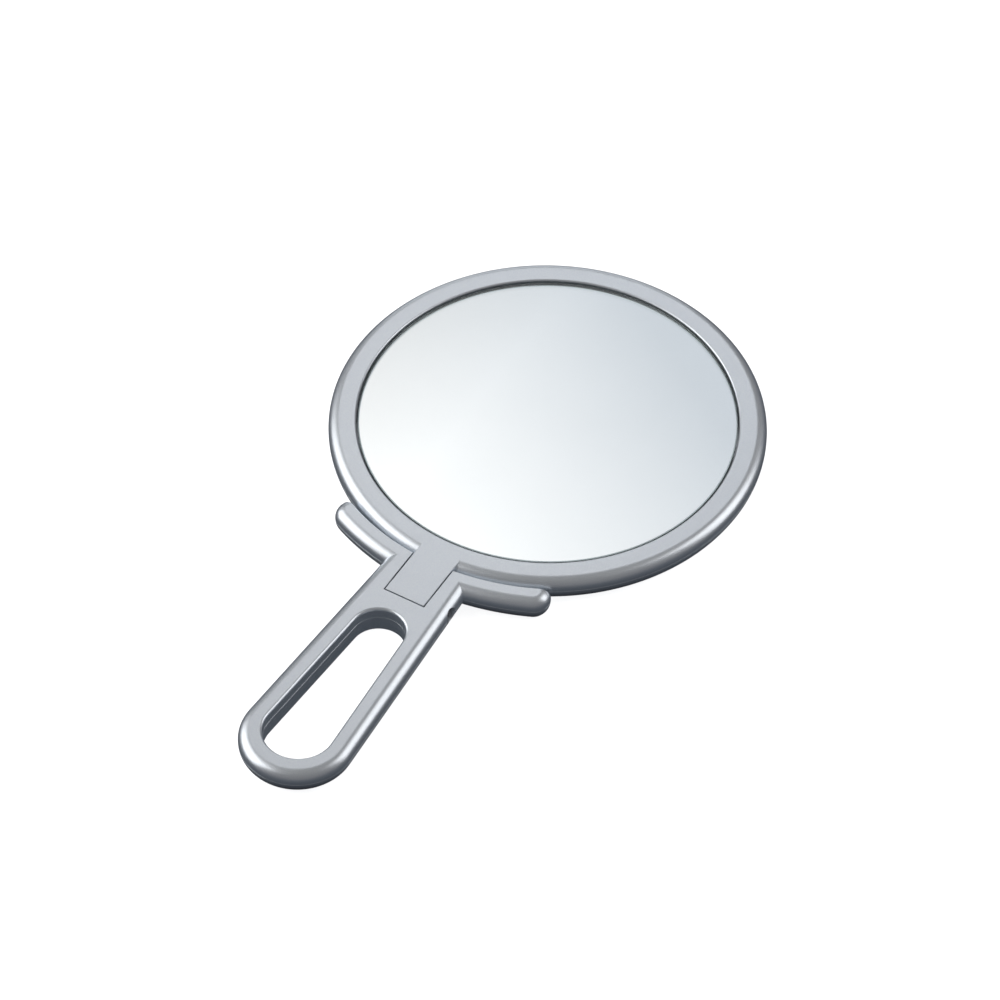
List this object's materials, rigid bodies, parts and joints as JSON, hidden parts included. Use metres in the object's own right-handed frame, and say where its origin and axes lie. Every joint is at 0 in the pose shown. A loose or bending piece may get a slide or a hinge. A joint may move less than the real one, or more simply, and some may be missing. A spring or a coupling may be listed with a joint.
{
  "type": "folding hand mirror",
  "caption": "Round hand mirror in a rounded metallic frame, with a forked loop handle that folds back on a friction hinge to stand it up on curved wings.",
  "frame": {"origin": "centre of the round head's flat back face", "axes": "+Z out of the mirror's face, +Y from the handle to the top of the head, +X to the right seen from the front; handle straight, the rest pose"},
  "size_m": [0.18, 0.307, 0.0122],
  "materials": {
    "silver_shell": "ABS with fine-grained silver metallic paint",
    "silvered_glass": "clear float glass silvered on the back",
    "foam": "closed-cell foam, both sides adhesive",
    "plated_steel": "zinc-plated steel",
    "nylon": "natural nylon"
  },
  "bodies": {
    "head": {"front_frame": "silver_shell", "back_cover": "silver_shell", "mirror_glass": "silvered_glass", "backing_pad": "foam", "hinge_sleeve": "plated_steel", "friction_washer_left": "nylon", "friction_washer_right": "nylon", "head_screws": "plated_steel"},
    "handle": {"handle_front_shell": "silver_shell", "handle_back_shell": "silver_shell", "handle_screws": "plated_steel", "hinge_screw": "plated_steel", "spring_washer": "plated_steel", "hinge_nut": "plated_steel"}
  },
  "joints": [
    {"name": "handle_fold", "type": "hinge", "parent": "head", "child": "handle", "pos_m": [0, -0.1085, 0.0072], "axis": [1, 0, 0], "range_deg": [0, 110]}
  ]
}
